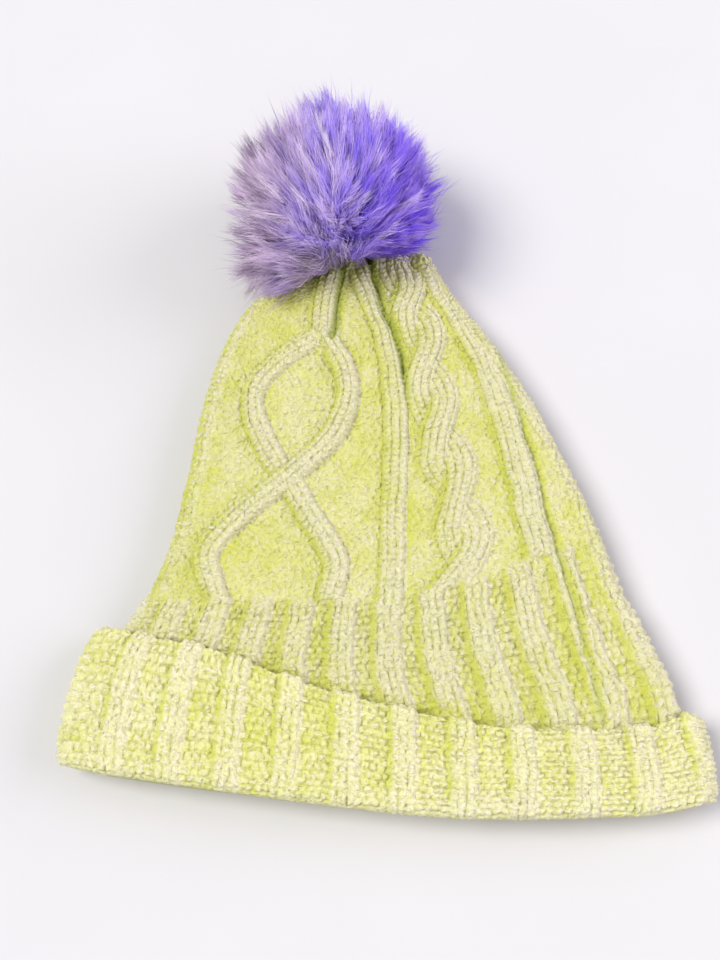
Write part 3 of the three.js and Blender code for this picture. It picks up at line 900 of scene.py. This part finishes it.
def stuffing():
    """A ball of loose fibrefill."""
    low, high = box_mm("pompom_stuffing")
    radius = (high[0] - low[0]) / 2

    def fluffed(around):
        spot = around * radius
        return 0.7 * noise(spot, 6.0, 61) + 0.45 * noise(spot, 2.2, 62) + 0.2 * noise(spot, 1.0, 63)

    points, faces = ball(node_middle("pompom_stuffing"), radius - 0.9, fluffed, 160, 80)
    fill = fibre_material("polyester_fibrefill", (0.80, 0.81, 0.82), (0.93, 0.93, 0.93), (1.6, 4.0, 0.7),
                          (0.8, 0.9), (0.35, 0.65), (0.3, 0.7, 0.6, 0.9), 0.6)
    make_mesh("fibrefill_ball", points, faces, "pompom", "fibrefill", fill, "pompom_stuffing")


# ---- yarns, cords and knots

PLY_SHARE = 0.52  # a ply's radius, as a share of the yarn's
YARN_STEP = 0.55  # from one ring of points to the next


def twisted_yarn(name, line, radius, body, slot, material, node, closed=False, plies=3, pitch=5.0):
    """A yarn laid along a line of points, as plies that wind round each other."""
    path_in = np.concatenate([line, line[:1]]) if closed else np.array(line)
    length = lengths_along(path_in)[-1]
    count = max(12, int(length / YARN_STEP))
    where = np.linspace(0, 1, count, endpoint=not closed)
    path = even_spline(path_in, where)
    if closed:
        heading = units(np.roll(path, -1, axis=0) - np.roll(path, 1, axis=0))
    else:
        heading = units(np.gradient(path, axis=0))
    side = np.zeros_like(path)
    guide = np.array([0.31, 0.17, 0.93])
    for i in range(count):
        guide = units(guide - heading[i] * (guide @ heading[i]))
        side[i] = guide
    other = np.cross(heading, side)
    ply = radius * PLY_SHARE
    turns = max(1, round(length / pitch))
    corners = 8
    ring = (2 * np.pi * np.arange(corners) / corners)[:, None]
    points, faces = [], []
    for k in range(plies):
        turn = (2 * np.pi * (turns * where + k / plies))[:, None]
        middle = path + (radius - ply) * (side * np.cos(turn) + other * np.sin(turn))
        round_it = np.cos(ring) * side[:, None] + np.sin(ring) * other[:, None]
        points.append(middle[:, None] + ply * round_it)
        first = k * count * corners
        faces += (grid_faces(count, corners, closed) + first).tolist()
        if not closed:
            last = first + (count - 1) * corners
            faces.append(list(range(first, first + corners))[::-1])
            faces.append(list(range(last, last + corners)))
    make_mesh(name, np.concatenate(points), faces, body, slot, material, node)


def ring_line(middle, radius, axis, count=24):
    """Points of a circle round an axis."""
    axis = units(np.array(axis, float))
    side = units(np.cross(axis, [0.2, 0.1, 0.97]))
    other = np.cross(axis, side)
    turn = np.linspace(0, 2 * np.pi, count, endpoint=False)[:, None]
    return middle + radius * (side * np.cos(turn) + other * np.sin(turn))


def knot_line(middle, size):
    """A small overhand knot, drawn up tight."""
    turn = np.linspace(0, 2 * np.pi, 40, endpoint=False)
    x = np.sin(turn) + 1.6 * np.sin(2 * turn)
    y = np.cos(turn) - 1.6 * np.cos(2 * turn)
    return middle + stacked(x, y, -1.3 * np.sin(3 * turn)) * size / 2.6


def node_middle(node):
    low, high = box_mm(node)
    return (low + high) / 2 - [0, SHIFT_Y, 0]


def small_parts():
    """The yarns, cord and knots that hold the hat's crown and the pom-pom together."""
    wool, cotton = (0.62, 0.66, 0.16), (0.74, 0.72, 0.66)
    yarn, cord = (
        fibre_material(name, tuple(c * 0.72 for c in colour), colour, (0.35, 3.0, 0.7), (0.25, 0.8),
                       (0.3, 0.7), (0.2, 0.8, 0.75, 0.95), 0.4)
        for name, colour in (("seam_yarn_wool", wool), ("tie_cord_cotton", cotton))
    )
    low, high = box_mm("back_seam_yarn")
    seam_y = np.linspace(low[1] - SHIFT_Y + 1, high[1] - SHIFT_Y - 1, 120)
    on_cuff, on_body = high[2] - 0.9, low[2] + 0.9
    seam_z = np.interp(seam_y, [seam_y[0], 60, 96, 210, seam_y[-1]],
                       [on_cuff, on_cuff, on_body, on_body, low[2] + 2.5])
    whip = stacked(np.sin(seam_y * 1.1), seam_y, seam_z)
    twisted_yarn("back_seam_stitches", whip, 0.8, "hat", "seam_yarn", yarn, "back_seam_yarn", pitch=4)
    low, high = box_mm("crown_gather_yarn")
    ring = ring_line(node_middle("crown_gather_yarn"), (high[0] - low[0]) / 2 - 1.0, (0, 1, 0))
    twisted_yarn("crown_gather_stitches", ring, 1.0, "hat", "seam_yarn", yarn, "crown_gather_yarn",
                 True, pitch=4)
    cord_line = [[-26.0, 221.5, 10.6], [-26.0, 232, 13.0], [-26.0, 243.0, 16.0]]
    twisted_yarn("pompom_tie_cord", cord_line, 1.15, "hat", "cord", cord, "tie_cord", plies=2, pitch=3.5)
    for name, node, body in (("button_knot", "anchor_knot", "hat"), ("neck_knot", "tie_knot", "pompom_knot")):
        low, high = box_mm(node)
        size = (high - low).min() / 2
        knot = knot_line(node_middle(node), size * 0.8)
        twisted_yarn(name, knot, size * 0.33, body, "cord", cord, node, True, plies=2, pitch=2.5)
    ring = ring_line(node_middle("pompom_drawstring"), 4.6, FUR_MIDDLE - NECK)
    twisted_yarn("fur_drawstring", ring, 0.8, "pompom_base", "cord", cord, "pompom_drawstring", True, 2, 3.0)


def finish_nodes():
    """Gives the CAD nodes whose shapes are right their materials."""
    washer = felt_material("washer_felt", (0.55, 0.53, 0.50))
    for node, material in (("anchor_button", button_material()), ("pompom_base_washer", washer)):
        mesh = frame["nodes"][node].data
        mesh.materials.clear()
        mesh.materials.append(material)


# ---- the knit that turns under

LINING_TOP = 24.0


def brim_lining(material):
    """The knit inside the brim, which joins the body to the fold."""
    around = 320
    rows = 24
    share = np.linspace(0, 1, rows)[:, None]
    flare = 1.0 + 0.015 * share
    outer_half = CUFF_HIGH[0] - 14.6 - WALL - 0.3
    height = (BODY_HIGH[2] - BODY_LOW[2]) / 2 - 4.6
    ribbing = 0.25 * np.cos(2 * np.pi * 70 * np.arange(around) / around)
    rings = []
    for layer in (0.0, 1.5):
        a, b = unit_section(around, outer_half - layer, height - layer, 3.6)
        across = a * (outer_half - layer)
        bottom = fold_line(across, b) + FOLD_R + 2.0
        rings.append(stacked(
            across * flare,
            LINING_TOP + (bottom - LINING_TOP) * share,
            MID_Z + b * (height - layer) * flare + ribbing * np.sign(b),
        ))
    every = np.concatenate([rings[0], rings[1][::-1]])
    faces = grid_faces(2 * rows, around, closed=True)[:, ::-1]
    piece = make_mesh("brim_lining", every, faces, "hat", "knit_body", material)
    none = np.zeros(2 * rows * around)
    add_values(piece, knit=none, groove=none, slope=none, relief=none + 0.4, crack=none + 0.3)
    bend_between(piece)


# ---- materials


class Tree:
    """Builds the nodes of one procedural material."""

    def __init__(self, name):
        self.material = bpy.data.materials.new(name)
        self.material.use_nodes = True
        self.nodes = self.material.node_tree.nodes
        self.links = self.material.node_tree.links
        self.shader = self.nodes["Principled BSDF"]

    def plug(self, socket, value):
        if isinstance(value, bpy.types.NodeSocket):
            self.links.new(value, socket)
        elif isinstance(value, tuple) and len(value) == 3 and socket.type == "RGBA":
            socket.default_value = (*value, 1.0)
        else:
            socket.default_value = value

    def value(self, name):
        found = self.nodes.new("ShaderNodeAttribute")
        found.attribute_name = name
        return found.outputs["Fac"]

    def texture(self, kind, size_mm, **rest):
        """A texture in the object's own space, in metres."""
        made = self.nodes.new(kind)
        place = self.nodes.new("ShaderNodeTexCoord").outputs["Object"]
        for name, value in {"Vector": place, "Scale": 1 / (size_mm * MM), **rest}.items():
            self.plug(made.inputs[name], value)
        return made.outputs

    def noise(self, size_mm, detail, rough):
        return self.texture("ShaderNodeTexNoise", size_mm, Detail=detail, Roughness=rough)["Fac"]

    def cells(self, size_mm):
        return self.texture("ShaderNodeTexVoronoi", size_mm)["Distance"]

    def sum(self, *terms):
        """Adds up sockets, numbers and (socket, factor) pairs."""
        total = None
        for term in terms:
            if isinstance(term, tuple):
                term = self.math("MULTIPLY", term[0], term[1])
            total = term if total is None else self.math("ADD", total, term)
        return total

    def math(self, operation, a, b):
        made = self.nodes.new("ShaderNodeMath")
        made.operation = operation
        self.plug(made.inputs[0], a)
        self.plug(made.inputs[1], b)
        return made.outputs[0]

    def span(self, value, low, high, out_low=0.0, out_high=1.0):
        made = self.nodes.new("ShaderNodeMapRange")
        made.interpolation_type = "SMOOTHSTEP"
        for socket, number in zip(made.inputs, (value, low, high, out_low, out_high)):
            self.plug(socket, number)
        return made.outputs["Result"]

    def mix(self, share, a, b):
        made = self.nodes.new("ShaderNodeMix")
        made.data_type = "RGBA"
        self.plug(made.inputs["Factor"], share)
        self.plug(made.inputs["A"], a)
        self.plug(made.inputs["B"], b)
        for socket in made.outputs:
            if socket.type == "RGBA":
                return socket

    def bump(self, height, depth_mm, strength=1.0):
        made = self.nodes.new("ShaderNodeBump")
        self.plug(made.inputs["Height"], height)
        self.plug(made.inputs["Distance"], depth_mm * MM)
        self.plug(made.inputs["Strength"], strength)
        self.plug(self.shader.inputs["Normal"], made.outputs["Normal"])

    def surface(self, colour, roughness, sheen=0.0, sheen_tint=(1.0, 1.0, 1.0), **rest):
        self.plug(self.shader.inputs["Base Color"], colour)
        self.plug(self.shader.inputs["Roughness"], roughness)
        self.plug(self.shader.inputs["Sheen Weight"], sheen)
        self.plug(self.shader.inputs["Sheen Tint"], sheen_tint)
        for name, value in rest.items():
            self.plug(self.shader.inputs[name.replace("_", " ")], value)
        return self.material


def chenille_material(name, paler, painted_light_level):
    """Fuzzy chenille: lime in the recesses, paler cream with a lilac cast on the raised stitches.

    The paleness on raised stitches is partly the pile's own paler tips and partly painted light. Right-facing
    sides get painted lilac light from the right, and the cracks and grooves get painted shade. Copies made
    paler or darker stand for how lit each part is: painted light and shade.
    """
    tree = Tree(name)
    relief, knit, groove, crack, slope = map(tree.value, ("relief", "knit", "groove", "crack", "slope"))
    crumb_top = tree.span(tree.cells(2.0), 0.80, 0.10)
    speck = tree.span(tree.noise(1.3, 2.0, 0.6), 0.32, 0.68)
    fine = tree.span(tree.noise(0.5, 2.0, 0.6), 0.3, 0.7)
    patch = tree.span(tree.noise(12.0, 2.0, 0.5), 0.3, 0.7)
    broad = tree.span(tree.noise(45.0, 1.0, 0.5), 0.35, 0.65)
    # Share of the pale colour: raised stitches and crumb tops are partly the pile's own paler tips and partly
    # painted light; the right-facing term is painted lilac light from the right, and the cracks are painted
    # shade.
    raised = tree.sum((relief, 0.07), (knit, 0.11), (crumb_top, 0.16), (crack, -0.50), (speck, 0.10),
                      (fine, 0.09), (patch, 0.22), (broad, 0.22), (slope, 0.80), paler)
    lime = tree.mix(patch, (0.760, 0.790, 0.125), (0.820, 0.830, 0.200))
    # Mixing towards black darkens a less lit copy of the chenille: painted shade.
    lime = tree.mix(1.0 - painted_light_level, lime, (0, 0, 0))
    pale = tree.mix(speck, (0.910, 0.890, 0.430), (0.950, 0.895, 0.660))
    pale = tree.mix(1.0 - painted_light_level, pale, (0, 0, 0))
    colour = tree.mix(tree.span(raised, 0.0, 1.0), lime, pale)
    # Painted shade in the cracks between stitches and tufts.
    gap = tree.math("MULTIPLY", tree.span(crack, 0.46, 0.96), 0.58)
    colour = tree.mix(gap, colour, (0.520, 0.520, 0.170))
    # Painted shade, dark green, in the grooves and the creases beside the cords and ribs.
    deep = tree.math("MULTIPLY", tree.span(groove, 0.05, 0.95), 0.82)
    colour = tree.mix(deep, colour, (0.400, 0.470, 0.035))
    height = tree.sum((crumb_top, 1.0), (speck, 0.7), (fine, 0.25), (tree.span(crack, 0.3, 1.0), -0.6))
    tree.bump(height, 0.6, 1.0)
    return tree.surface(colour, tree.math("ADD", 0.82, tree.math("MULTIPLY", fine, 0.18)), 0.30,
                        (0.97, 0.93, 0.95), Specular_IOR_Level=0.10)


def fur_material():
    """Faux fur: grey lavender on the left to violet on the right, which is painted violet light from the
    right, with near-white locks.
    """
    tree = Tree("faux_fur")
    tone, place, across = map(tree.value, ("tone", "place", "across"))
    shade = tree.span(tone, 0.0, 0.95)
    left = tree.mix(shade, (0.33, 0.24, 0.37), (0.83, 0.65, 0.90))
    middle = tree.mix(shade, (0.41, 0.28, 1.00), (0.88, 0.72, 1.00))
    right = tree.mix(shade, (0.20, 0.08, 0.97), (0.55, 0.34, 1.00))
    # Left to right the fur turns violet: painted violet light from the right.
    colour = tree.mix(tree.span(across, 0.08, 0.52), left, middle)
    colour = tree.mix(tree.span(across, 0.50, 0.95), colour, right)
    colour = tree.mix(tree.span(tone, 0.80, 1.0, 0.0, 0.7), colour, (0.95, 0.90, 1.0))
    rooted = tree.span(place, 0.0, 0.50, 0.25, 0.0)
    colour = tree.mix(rooted, colour, (0.26, 0.19, 0.62))
    tree.bump(tree.noise(0.4, 2.0, 0.6), 0.05, 0.4)
    return tree.surface(colour, tree.span(tone, 0.0, 1.0, 0.62, 0.45), 0.12, (0.85, 0.80, 1.0),
                        Specular_IOR_Level=0.3)


def fibre_material(name, dark, pale, grain, bump, spread, rough, sheen):
    """Loose or spun fibres. grain is the noise, and spread is how much of it goes from dark to pale."""
    tree = Tree(name)
    fibre = tree.noise(*grain)
    tree.bump(fibre, *bump)
    return tree.surface(tree.mix(tree.span(fibre, *spread), dark, pale), tree.span(fibre, *rough), sheen)


def felt_material(name, colour):
    tree = Tree(name)
    fibre = tree.noise(0.6, 5.0, 0.75)
    cloud = tree.noise(4.0, 2.0, 0.5)
    shade = tuple(c * 0.78 for c in colour)
    tree.bump(tree.sum(fibre, (cloud, 0.6)), 0.3, 0.8)
    return tree.surface(tree.mix(tree.span(tree.sum(fibre, (cloud, 0.5)), 0.5, 1.0), shade, colour),
                        tree.span(cloud, 0.3, 0.7, 0.82, 0.97), 0.5)


def button_material():
    tree = Tree("button_plastic")
    swirl = tree.noise(3.0, 3.0, 0.5)
    scratch = tree.noise(0.5, 2.0, 0.6)
    tree.bump(scratch, 0.02, 0.5)
    return tree.surface(tree.mix(tree.span(swirl, 0.35, 0.65), (0.78, 0.77, 0.70), (0.88, 0.87, 0.82)),
                        tree.span(scratch, 0.3, 0.7, 0.28, 0.42), Specular_IOR_Level=0.5)


def floor_material():
    tree = Tree("pale_floor")
    mottle = tree.noise(90.0, 2.0, 0.5)
    return tree.surface(tree.mix(mottle, (0.66, 0.65, 0.66), (0.70, 0.69, 0.70)), 0.85)


# ---- floor, light and camera

FLOOR_REACH = 6.0  # metres from the middle to each side
FLOOR_GAP = 0.0002  # the floor lies this far under the hat, in metres


def floor():
    mesh = bpy.data.meshes.new("floor")
    reach = FLOOR_REACH
    corners = [(-reach, -reach, 0), (reach, -reach, 0), (reach, reach, 0), (-reach, reach, 0)]
    mesh.from_pydata(corners, [], [(0, 1, 2, 3)])
    mesh.materials.append(floor_material())
    plane = add_thing("floor", mesh)
    plane.location.z = CAD_BOX[0].z - FLOOR_GAP


def soft_light(name, direction, strength, spread_deg, colour):
    """A wide soft light that shines from a direction, evenly over the whole floor."""
    data = bpy.data.lights.new(name, "SUN")
    data.energy = strength
    data.angle = math.radians(spread_deg)
    data.color = colour
    light = add_thing(name, data)
    light.rotation_euler = (-Vector(direction)).to_track_quat("-Z", "Y").to_euler()


def studio():
    soft_light("key", (-0.55, -0.10, 0.95), 2.35, 30, (1.0, 0.99, 0.96))
    soft_light("side", (0.95, 0.10, 0.50), 1.75, 45, (0.90, 0.84, 1.0))
    world = bpy.data.worlds.new("studio")
    world.use_nodes = True
    background = world.node_tree.nodes["Background"]
    background.inputs["Color"].default_value = (0.96, 0.96, 1.0, 1.0)
    rays = world.node_tree.nodes.new("ShaderNodeLightPath")
    seen = world.node_tree.nodes.new("ShaderNodeMapRange")
    seen.inputs["To Min"].default_value = 0.50
    seen.inputs["To Max"].default_value = 0.92
    world.node_tree.links.new(rays.outputs["Is Camera Ray"], seen.inputs["Value"])
    world.node_tree.links.new(seen.outputs["Result"], background.inputs["Strength"])
    bpy.context.scene.world = world
    bpy.context.scene.view_settings.view_transform = "Standard"


def camera():
    """The view from a little below the brim, looking down at the hat."""
    place = Vector((0.0365, -0.118, 0.5057))
    look = Vector((-0.0950, 0.4221, -0.9016)).normalized()
    right = look.cross(Vector((-0.0323, 0.9039, 0.4266))).normalized()
    up = right.cross(look)
    data = bpy.data.cameras.new("camera")
    data.lens = 51.1
    data.sensor_width = 36.0
    data.clip_start = 0.01
    thing = add_thing("camera", data)
    turned = Matrix((right, up, -look)).transposed().to_4x4()
    thing.matrix_world = Matrix.Translation(place) @ turned
    bpy.context.scene.camera = thing


# ---- putting it together

# The body's chenille is darker and less pale than the brim's: painted shade on the body and painted light on
# the brim.
body_chenille = chenille_material("chenille_body", 0.275, 0.90)
knit_body(body_chenille)
cuff(chenille_material("chenille_brim", 0.36, 1.0))
brim_lining(body_chenille)
pompom_locks(fur_material())
fur_backing()
stuffing()
small_parts()
finish_nodes()
floor()
studio()
camera()
